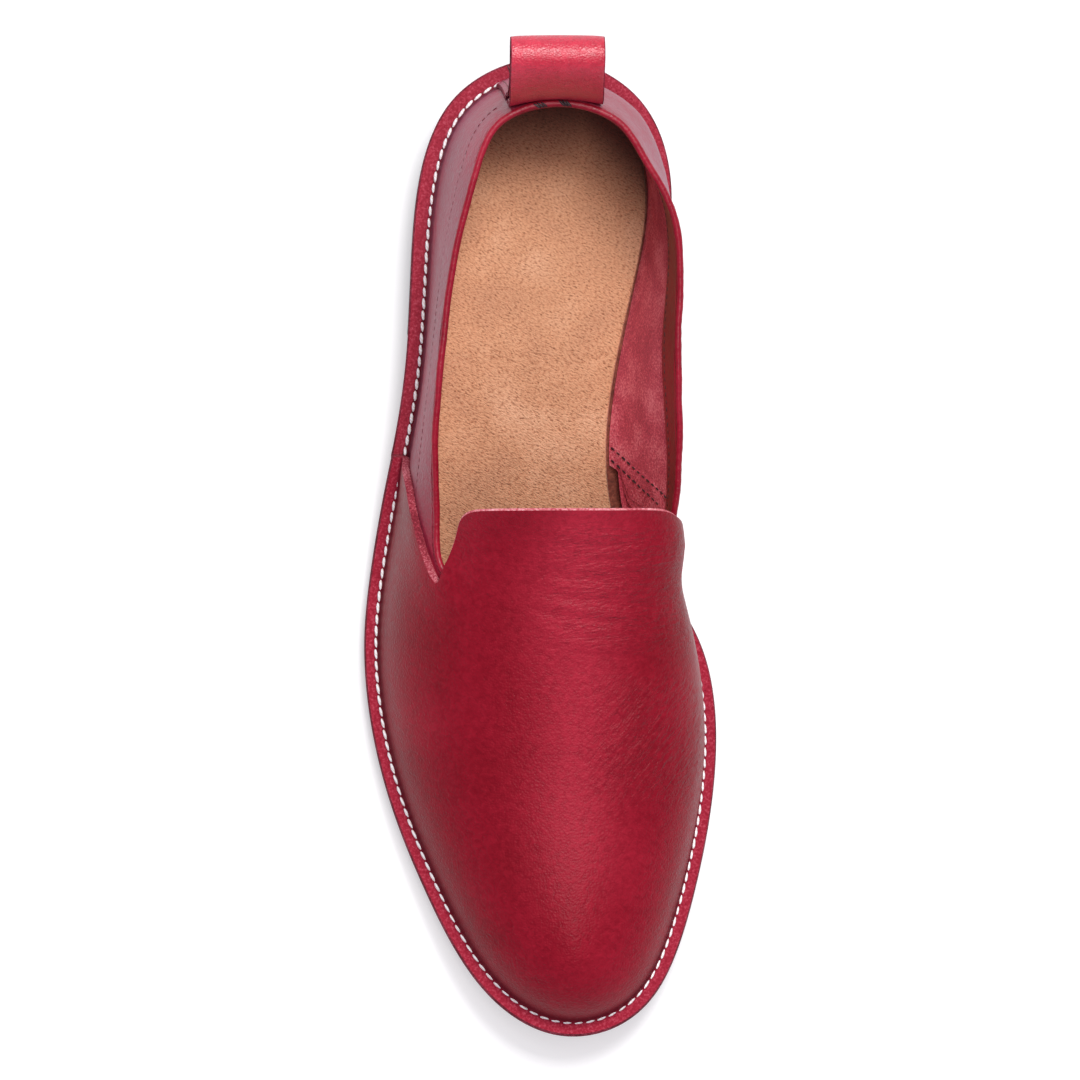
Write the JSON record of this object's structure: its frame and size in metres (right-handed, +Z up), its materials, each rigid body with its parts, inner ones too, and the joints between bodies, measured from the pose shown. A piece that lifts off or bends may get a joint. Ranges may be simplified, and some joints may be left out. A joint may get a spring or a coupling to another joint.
{
  "type": "slip-on leather shoe",
  "caption": "Slip-on leather shoe for the right foot with a turned-out stitched flange, a throat tab, a low heel and a heel pull loop.",
  "frame": {"origin": "centre of the shoe's box on the floor, where it stands on its heel and forefoot", "axes": "+Z up, -Y towards the toe, +X towards the inner (big-toe) side of this right shoe"},
  "size_m": [0.1066, 0.304, 0.1041],
  "materials": {
    "upper": "smooth aniline-dyed red leather, semi-gloss",
    "binding": "rolled red leather, semi-gloss",
    "loop": "smooth red leather strip",
    "insole": "tan pigskin, matt",
    "sole": "dark red dyed leather sole",
    "heel": "dark red stacked leather"
  },
  "bodies": {
    "root": {"outsole": "sole", "heel": "heel", "upper": "upper", "collar_binding": "binding", "insole": "insole", "pull_loop": "loop"}
  },
  "joints": []
}
